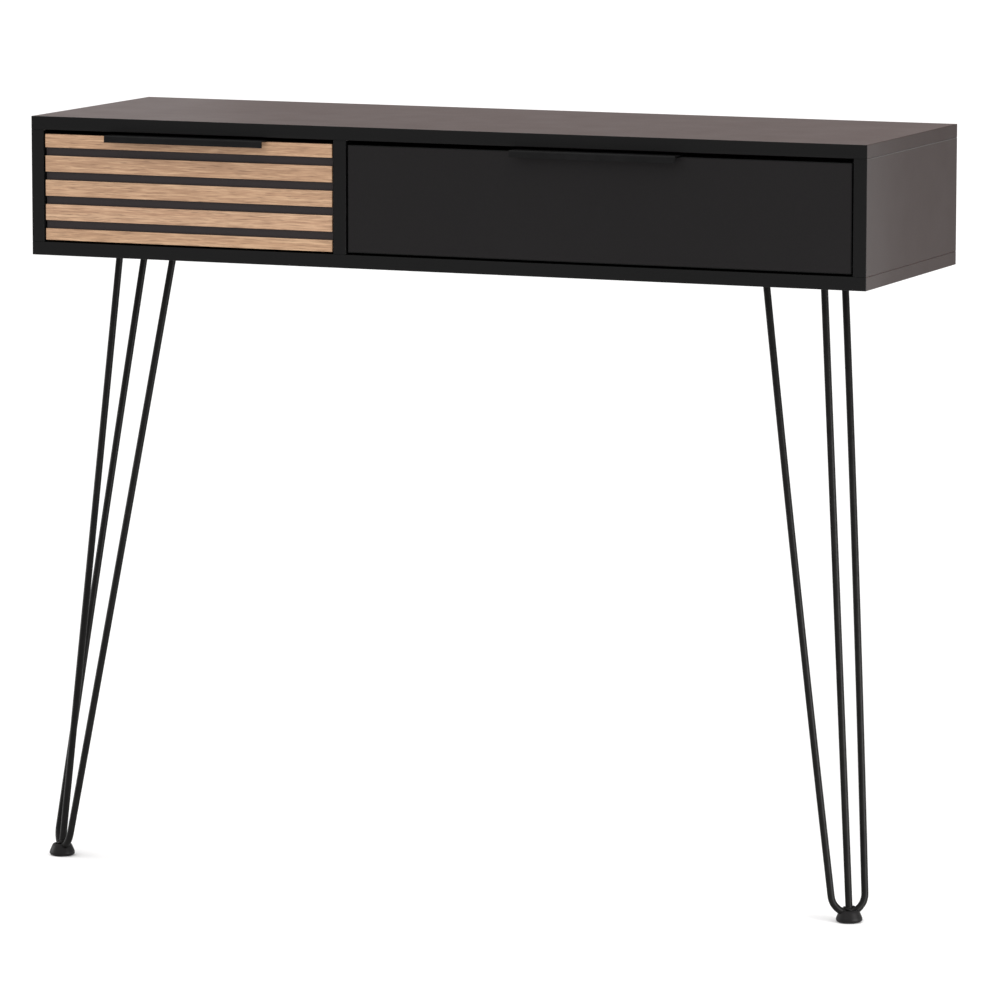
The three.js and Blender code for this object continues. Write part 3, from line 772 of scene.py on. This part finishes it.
def leg_foot(leg):
    """A rubber cone with an open channel for the bent rod and a hole for the straight one."""
    above = [p + Vector((0, 0, 4)) for p in leg.bend]
    cone = carved(
        turned(FOOT_PROFILE, 64, foot_at(leg.side, 0)),
        swept(leg.bend, ROD_R + FOOT_FIT, ROD_SIDES),
        swept(above, ROD_R - 3 * FOOT_FIT, ROD_SIDES),
        swept([leg.low - leg.axis * 30, leg.low - leg.axis * 2], ROD_R + FOOT_FIT, ROD_SIDES),
    )
    piece(leg.name + "foot_look", cone, FRAME, "foot_rubber", RUBBER, [leg.name + "foot"], smooth=40)


def leg_screws(leg):
    for i, (a, b) in enumerate(LEG_SCREWS, 1):
        name = f"{leg.name}screw_{i}"
        turn = Matrix.Rotation(dice.uniform(0, math.pi), 4, "Z")
        at = Matrix.Translation(on_leg(leg.side, a, b, PLATE_Z))
        piece(name + "_look", screw_copy(at @ turn), FRAME, "zinc_steel", ZINC_STEEL, [name], smooth=40)


def pilot_holes():
    """Cutters for the leg screws' holes in the bottom panel, each with a drill's pointed end."""
    z0, z1 = UNDER_Z - 1, UNDER_Z + PILOT_L
    profile = [(0, z0), (PILOT_R, z0), (PILOT_R, z1), (0, z1 + 0.8)]
    return [turned(profile, 14, on_leg(side, a, b, 0)) for side in (-1, 1) for a, b in LEG_SCREWS]


banded_board(
    "bottom_panel_look", "bottom_panel", FRAME, THREE_BANDS, BOTTOM_LOOK,
    cutters=pilot_holes(), inside=[(Z, -1), (Z, 1)],
)
for label, side in (("left", -1), ("right", 1)):
    leg = Leg(label, side)
    for make in (leg_plate, leg_rods, leg_welds, leg_foot, leg_screws):
        make(leg)

# ---------------------------------------------------------------- back panel and wall plates
KEYHOLE_R, SLOT_R, SLOT_RISE = 5.0, 2.6, 14.0
KEYHOLE_ROOM = 8.0  # depth behind the keyhole for a wall screw's head
HANGER_SCREWS = ((-24.0, 1.533), (24.0, 5.55))  # up from the keyhole, and the turn of the drive
SUNK_R, SUNK_H = 3.7, 1.7  # countersunk head

hanger_lo, hanger_hi = box_mm("wall_hanger_right")
HANGER_X, _, HANGER_Z = (hanger_lo + hanger_hi) / 2
HANGER_HALF_W, HANGER_T, HANGER_HALF_H = (
    (hanger_hi.x - hanger_lo.x) / 2, hanger_hi.y - hanger_lo.y, (hanger_hi.z - hanger_lo.z) / 2
)
BACK_Y = box_mm("back_panel")[1].y


def hanger_outline(cx, grow=0.0):
    w, h = HANGER_HALF_W + grow, HANGER_HALF_H + grow
    return [*arc(cx, HANGER_Z - h + w, w, 180, 360, 16), *arc(cx, HANGER_Z + h - w, w, 0, 180, 16)]


def keyhole_outline(cx):
    open_at = math.degrees(math.asin(SLOT_R / KEYHOLE_R))
    return [
        *arc(cx, HANGER_Z, KEYHOLE_R, 90 + open_at, 450 - open_at, 24),
        *arc(cx, HANGER_Z + SLOT_RISE, SLOT_R, 0, 180, 12),
    ]


def hanger_pockets(cx):
    """Cutters for a plate's seat, and for the room behind its keyhole."""
    seat_y, wider = BACK_Y - HANGER_T - FIT, 1.5
    r = KEYHOLE_R + wider
    room = [
        *arc(cx, HANGER_Z, r, 180, 360, 12),
        *arc(cx, HANGER_Z + SLOT_RISE - wider, r, 0, 180, 12),
    ]
    return [
        prism(Y, hanger_outline(cx, FIT), seat_y, BACK_Y + 2),
        prism(Y, room, seat_y - KEYHOLE_ROOM, BACK_Y - 1),
    ]


def wall_hanger(label, cx):
    """A keyhole plate and the two countersunk screws that hold it."""
    y0, y1 = BACK_Y - HANGER_T, BACK_Y
    sink = [(0, y0 - 1), (2.2, y0 - 1), (2.2, y0 + 0.3), (4.1, y1 + 0.01), (4.1, y1 + 1), (0, y1 + 1)]
    sinks, heads = [], []
    for up, turn in HANGER_SCREWS:
        z = HANGER_Z + up
        sinks.append(turned(sink, 24, (cx, 0, z), Y))
        head = turned([(0, -SUNK_H), (SUNK_R, -SUNK_H), (SUNK_R, -SUNK_H + 0.15), (2.0, 0), (0, 0)], 24)
        head = carved(head, *shifted(cross_recess(1.9, 1.1), -SUNK_H))
        stand = Matrix.Translation((cx, y1 - SUNK_H - 0.05, z)) @ Matrix.Rotation(math.pi / 2, 4, "X")
        head.transform(stand @ Matrix.Rotation(turn, 4, "Z"))
        heads.append(head)
    plate = soften(prism(Y, hanger_outline(cx), y0, y1), 0.3, 2, 50)
    plate = carved(plate, prism(Y, keyhole_outline(cx), y0 - 1, y1 + 1), *sinks)
    name = f"wall_hanger_{label}"
    piece(name + "_look", merged(plate, *heads), FRAME, "zinc_steel", ZINC_STEEL, [name], smooth=40)


banded_board(
    "back_panel_look", "back_panel", FRAME, [], (GRAPHITE_FACE, GRAPHITE_BAND), radius=0.5,
    cutters=[*hanger_pockets(-HANGER_X), *hanger_pockets(HANGER_X)], inside=[(Y, -1)],
)
wall_hanger("left", -HANGER_X)
wall_hanger("right", HANGER_X)

# ---------------------------------------------------------------- drawers
HANDLE_SHEET = 1.5
FOLD_R = 2.2  # outside radius of a handle's fold
LIP_H, TAIL_H = 8.0, 18.0
HANDLE_SCREW_X, HANDLE_SCREW_DOWN = 70.0, 11.0
BOX_GROOVE_FROM = 6.0  # slot's bottom, in from a drawer side's outer face
SHEET_FIT = 0.2  # room above and below a drawer bottom in its slots


def folded_handle(node):
    """A folded sheet: lip in front, web over the front's top edge, tail behind it."""
    lo, hi = box_mm(node)
    t, out = HANDLE_SHEET, FOLD_R
    y0, y1, z1 = lo.y, hi.y, hi.z
    outline = [
        (y0, z1 - LIP_H),
        (y0 + t, z1 - LIP_H),
        *arc(y0 + out, z1 - out, out - t, 180, 90, 5),
        *arc(y1 - out, z1 - out, out - t, 90, 0, 5),
        (y1 - t, z1 - TAIL_H),
        (y1, z1 - TAIL_H),
        *arc(y1 - out, z1 - out, out, 0, 90, 8),
        *arc(y0 + out, z1 - out, out, 90, 180, 8),
    ]
    return soften(prism(X, outline, lo.x, hi.x), 0.22, 2, 50)


def grooved_side(node, sheet, inward):
    """A drawer side with the slot that holds the bottom sheet."""
    lo, hi = box_mm(node)
    sheet_lo, sheet_hi = box_mm(sheet)
    outer, inner = (lo.x, hi.x) if inward > 0 else (hi.x, lo.x)
    slot = outer + inward * BOX_GROOVE_FROM
    z0, z1 = sheet_lo.z - SHEET_FIT, sheet_hi.z + SHEET_FIT
    outline = [
        (outer, lo.z), (inner, lo.z), (inner, z0), (slot, z0), (slot, z1), (inner, z1), (inner, hi.z),
        (outer, hi.z),
    ]
    return soften(prism(Y, outline, lo.y, hi.y), 0.5, 2)


def soft_box(node, radius):
    return soften(block(*box_mm(node)), radius, 3)


def drawer_front(body):
    """The front board, slotted behind for the bottom sheet; the left one carries the slats."""
    front = body + "_front"
    behind = box_mm(front)[1].y
    sheet_lo, sheet_hi = box_mm(body + "_bottom")
    slot = block(
        Vector((sheet_lo.x - FIT, behind - 5, sheet_lo.z - SHEET_FIT)),
        Vector((sheet_hi.x + FIT, behind + 1, sheet_hi.z + SHEET_FIT)),
    )
    if body == "left_drawer":
        banded_board(front + "_look", front, body, [], (SLAT_BACKING,), 0.3, [slot])
        for i, wood in enumerate(SLAT_OAK, 1):
            slat = f"{body}_slat_{i}"
            piece(slat + "_look", soft_box(slat, 0.35), body, "oak", wood, [slat])
    else:
        edges = [(X, -1, 1), (X, 1, 1), (Z, -1, 1), (Z, 1, 1)]
        banded_board(front + "_look", front, body, edges, (GRAPHITE_FRONT, FRONT_BAND), 0.9, [slot])


def drawer_box(body):
    back, sheet = body + "_back", body + "_bottom"
    for label, inward in SIDES:
        side = f"{body}_side_{label}"
        piece(side + "_look", grooved_side(side, sheet, inward), body, "box_board", BOX_FACE, [side])
    piece(back + "_look", soft_box(back, 0.5), body, "box_board", BOX_FACE, [back])
    piece(sheet + "_look", soft_box(sheet, 0.3), body, "hardboard", HARDBOARD, [sheet])


def drawer_handle(body):
    """The handle, and two smaller screws through its tail into the back of the front board."""
    handle = body + "_handle"
    piece(handle + "_look", folded_handle(handle), body, "black_steel", HANDLE_STEEL, [handle], smooth=40)
    lo, hi = box_mm(handle)
    smaller = Matrix.Diagonal((0.8, 0.8, 0.72, 1))
    for i, dx in enumerate((-HANDLE_SCREW_X, HANDLE_SCREW_X), 1):
        at = Matrix.Translation(((lo.x + hi.x) / 2 + dx, hi.y, hi.z - HANDLE_SCREW_DOWN))
        turn = Matrix.Rotation(math.pi / 2, 4, "X") @ Matrix.Rotation(dice.uniform(0, 3), 4, "Z")
        screw = screw_copy(at @ turn @ smaller)
        piece(f"{handle}_screw_{i}", screw, body, "zinc_steel", ZINC_STEEL, smooth=40)


# ---------------------------------------------------------------- runners
RUNNER_GAP = 13.0  # bay wall to drawer side
RAIL_SHEET = 1.2
RAIL_FLANGE = 9.0  # flanges of a bay rail, out from the bay's wall
RAIL_PLAY = 0.2
RAIL_SHELF = 25.0  # a drawer rail's shelf reaches under the drawer side, this far from the bay's wall
RAIL_HOLE_R = 2.4
RAIL_HOLES = ((0.19, 4.0), (0.5, 0.0), (0.78, 4.0))  # place along the rail; half length of a slot, 0 if round
RAIL_SCREW_H = 1.72  # low enough for the drawer rail's rivet to pass
TRAVEL = 190.0  # of each drawer, from shut to its stops


def off_wall(wall, inward, y, z, turn=0.0):
    """Stands a mesh made along Z on a bay's wall, pointing into the bay."""
    stand = Matrix.Translation((wall, y, z)) @ Matrix.Rotation(inward * math.pi / 2, 4, "Y")
    return stand @ Matrix.Rotation(turn, 4, "Z")


def rounded_channel(reach, z0, z1, wall, inward):
    """C section open towards the drawer, with rolled corners."""
    t, r, h = RAIL_SHEET, 1.8, z1 - z0
    section = [
        *arc(r, r, r, 180, 270, 5), (reach - 0.5, 0), (reach, 0.5), (reach, t - 0.2), (reach - 0.2, t),
        *arc(r, r, r - t, 270, 180, 4), *arc(r, h - r, r - t, 180, 90, 4),
        (reach - 0.2, h - t), (reach, h - t + 0.2), (reach, h - 0.5), (reach - 0.5, h),
        *arc(r, h - r, r, 90, 180, 5),
    ]
    return [(wall + inward * a, z0 + b) for a, b in section]


def rail_screw():
    """A low flange head with a cross drive, standing on z = 0."""
    h = RAIL_SCREW_H
    head = turned([(0, 0), (1.9, 0), (1.9, 1.22), (3.5, 1.25), (3.3, 1.52), (2.6, 1.68), (0, h)], 24)
    return carved(head, *flipped(cross_recess(1.6, 0.45), h))


def bay_rail(drawer, label, wall, inward):
    """The runner's fixed member: a channel, its wall screws, two stops for the rear roller, and an axle."""
    node = f"{drawer}_bay_rail_{label}"
    lo, hi = box_mm(node)
    rear_lo, rear_hi = box_mm(f"{drawer}_drawer_roller_{label}")
    axle = centre_of(f"{drawer}_bay_roller_{label}")
    t, middle = RAIL_SHEET, (lo.z + hi.z) / 2
    outline = rounded_channel(RAIL_FLANGE, lo.z, hi.z, wall, inward)
    channel = soften(prism(Y, outline, lo.y, hi.y), 0.15, 1, 50)
    holes, screws = [], []
    for k, (share, half) in enumerate(RAIL_HOLES):
        y, r = lo.y + (hi.y - lo.y) * share, RAIL_HOLE_R
        if half:
            hole = [*arc(y + half, middle, r, -90, 90, 8), *arc(y - half, middle, r, 90, 270, 8)]
        else:
            hole = arc(y, middle, r, 0, 345, 23)
        holes.append(prism(X, hole, wall - 2, wall + 2))
        screw = rail_screw()
        screw.transform(off_wall(wall, inward, y + half / 2, middle, k + 0.3))
        screws.append(screw)
    channel = carved(channel, *holes)
    front_stop_y = rear_lo.y - TRAVEL - RAIL_PLAY - t
    rear_stop_y = rear_hi.y + RAIL_PLAY
    x0, x1 = sorted((wall + inward * t * 0.9, wall + inward * (RAIL_FLANGE - 0.4)))
    tabs = [
        soften(block(Vector((x0, y, lo.z + t * 0.9)), Vector((x1, y + t, top + 0.1))), 0.25, 2)
        for y, top in ((front_stop_y, middle), (rear_stop_y, hi.z - t))
    ]
    rivet = turned([(0, 0.9), (2.0, 0.9), (2.0, 9.4), (3.4, 9.45), (3.4, 9.8), (2.6, 10.0), (0, 10.0)], 24)
    rivet.transform(off_wall(wall, inward, axle.y, axle.z))
    rail = merged(channel, *tabs, rivet)
    piece(node + "_look", rail, FRAME, "runner_steel", RUNNER_STEEL, [node], smooth=40)
    piece(node + "_screws", merged(*screws), FRAME, "zinc_steel", ZINC_STEEL, smooth=40)


def drawer_rail(drawer, label, wall, inward):
    """The runner's moving member: an angle under the drawer side, a flange over the bay's roller, an axle."""
    node = f"{drawer}_drawer_rail_{label}"
    lo, hi = box_mm(node)
    own_roller = f"{drawer}_drawer_roller_{label}"
    axle = centre_of(own_roller)
    t, r = RAIL_SHEET, 1.6
    web = RUNNER_GAP - t - RAIL_PLAY
    under = box_mm(f"{drawer}_drawer_side_{label}")[0].z - FIT - t
    top = box_mm(f"{drawer}_bay_roller_{label}")[1].z + RAIL_PLAY

    def across(points):
        return [(wall + inward * a, b) for a, b in points]

    angle = across([
        *arc(web + r, under + r, r, 180, 270, 5),
        (RAIL_SHELF - 0.2, under), (RAIL_SHELF, under + 0.2), (RAIL_SHELF, under + t),
        *arc(web + r, under + r, r - t, 270, 180, 3),
        (web + t, top + t - 0.3), (web + t - 0.3, top + t), (web, top + t),
    ])
    flange = across([
        (3.5, top + 0.2), (3.7, top), (web + t / 2, top), (web + t / 2, top + t), (3.7, top + t),
        (3.5, top + t - 0.2),
    ])
    head = [(0, 1.85), (2.3, 1.85), (2.6, 2.2), (2.6, 2.35)]
    rivet = turned([*head, (2.0, 2.4), (2.0, web + 0.4), (0, web + 0.4)], 24)
    rivet.transform(off_wall(wall, inward, axle.y, axle.z))
    rail = merged(
        soften(prism(Y, angle, lo.y, hi.y), 0.12, 1, 50),
        soften(prism(Y, flange, lo.y, box_mm(own_roller)[0].y - 3), 0.12, 1, 50),
        rivet,
    )
    piece(node + "_look", rail, f"{drawer}_drawer", "runner_steel", RUNNER_STEEL, [node], smooth=40)


def roller(node):
    """A nylon wheel with a crowned tread, a dished web and a hub round its axle."""
    lo, hi = box_mm(node)
    r, half = (hi.z - lo.z) / 2, (hi.x - lo.x) / 2
    bore, hub = 2.3, 3.8
    one_side = [
        (bore, half), (hub, half), (hub + 0.4, half - 0.9), (r - 2.2, half - 0.9), (r - 1.8, half),
        (r - 0.6, half), (r - 0.2, half - 0.25), (r, half - 0.7),
    ]
    profile = [(a, -b) for a, b in one_side] + one_side[::-1] + [(bore, -half)]
    wheel = turned(profile, 48, (lo + hi) / 2, X)
    piece(node + "_look", wheel, node, "roller_nylon", NYLON, [node], smooth=35)


for drawer in ("left", "right"):
    for make in (drawer_front, drawer_box, drawer_handle):
        make(f"{drawer}_drawer")
    for label, inward in SIDES:
        rail_lo, rail_hi = box_mm(f"{drawer}_bay_rail_{label}")
        wall = rail_lo.x if inward > 0 else rail_hi.x
        bay_rail(drawer, label, wall, inward)
        drawer_rail(drawer, label, wall, inward)
        roller(f"{drawer}_bay_roller_{label}")
        roller(f"{drawer}_drawer_roller_{label}")

# ---------------------------------------------------------------- floor and light
FLOOR_HALF = 40.0  # metres
FLOOR_DROP = 0.0005  # keeps the floor just clear of the feet
floor_grid = bmesh.new()
bmesh.ops.create_grid(floor_grid, x_segments=8, y_segments=8, size=FLOOR_HALF)
floor_mesh = bpy.data.meshes.new("floor")
floor_grid.to_mesh(floor_mesh)
floor_grid.free()
floor = bpy.data.objects.new("floor", floor_mesh)
floor.location.z = -FLOOR_DROP
scene.collection.objects.link(floor)
paper = Finish("floor_paper", IOR=1.2, Roughness=0.9)
paper_cloud = paper.noise(scale=3.0, detail=3.0)
paper.link("Base Color", paper.ramp(paper_cloud, (0.3, (0.93, 0.93, 0.93)), (0.7, (0.95, 0.95, 0.95))))
floor_mesh.materials.append(paper.material)

world = bpy.data.worlds.new("studio")
scene.world = world
world.use_nodes = True
sky = world.node_tree
background = sky.nodes["Background"]
background.inputs["Color"].default_value = (1.0, 0.985, 0.98, 1)
background.inputs["Strength"].default_value = 0.72

sun = bpy.data.lights.new("overhead", "SUN")
sun.energy = 1.8
sun.angle = math.radians(100)
overhead = bpy.data.objects.new("overhead", sun)
overhead.rotation_euler = (math.radians(24), math.radians(-12), 0)
scene.collection.objects.link(overhead)


def softbox(name, at, aim, width, height, watts, spread=180.0):
    """A rectangular light that no camera sees; spread is its full beam angle in degrees."""
    data = bpy.data.lights.new(name, "AREA")
    data.shape, data.size, data.size_y, data.energy = "RECTANGLE", width, height, watts
    data.spread = math.radians(spread)
    light = bpy.data.objects.new(name, data)
    light.location = at
    light.rotation_euler = (Vector(aim) - Vector(at)).to_track_quat("-Z", "Y").to_euler()
    light.visible_camera = False
    scene.collection.objects.link(light)


softbox("right_strip", (1.35, -0.35, 0.32), (0.45, -0.1, 0.3), 0.6, 0.62, 3.2, 60)
softbox("left_strip", (-1.35, -0.2, 0.32), (-0.45, -0.1, 0.3), 0.4, 0.62, 0.9, 60)
softbox("rear_left", (-1.25, 1.0, 1.15), (-0.2, 0, 0.85), 0.9, 0.6, 0.45)
softbox("side_fill", (0.66, 0.1, 0.75), (0.5, -0.16, 0.78), 0.1, 0.3, 0.2)

scene.view_settings.view_transform = "Standard"
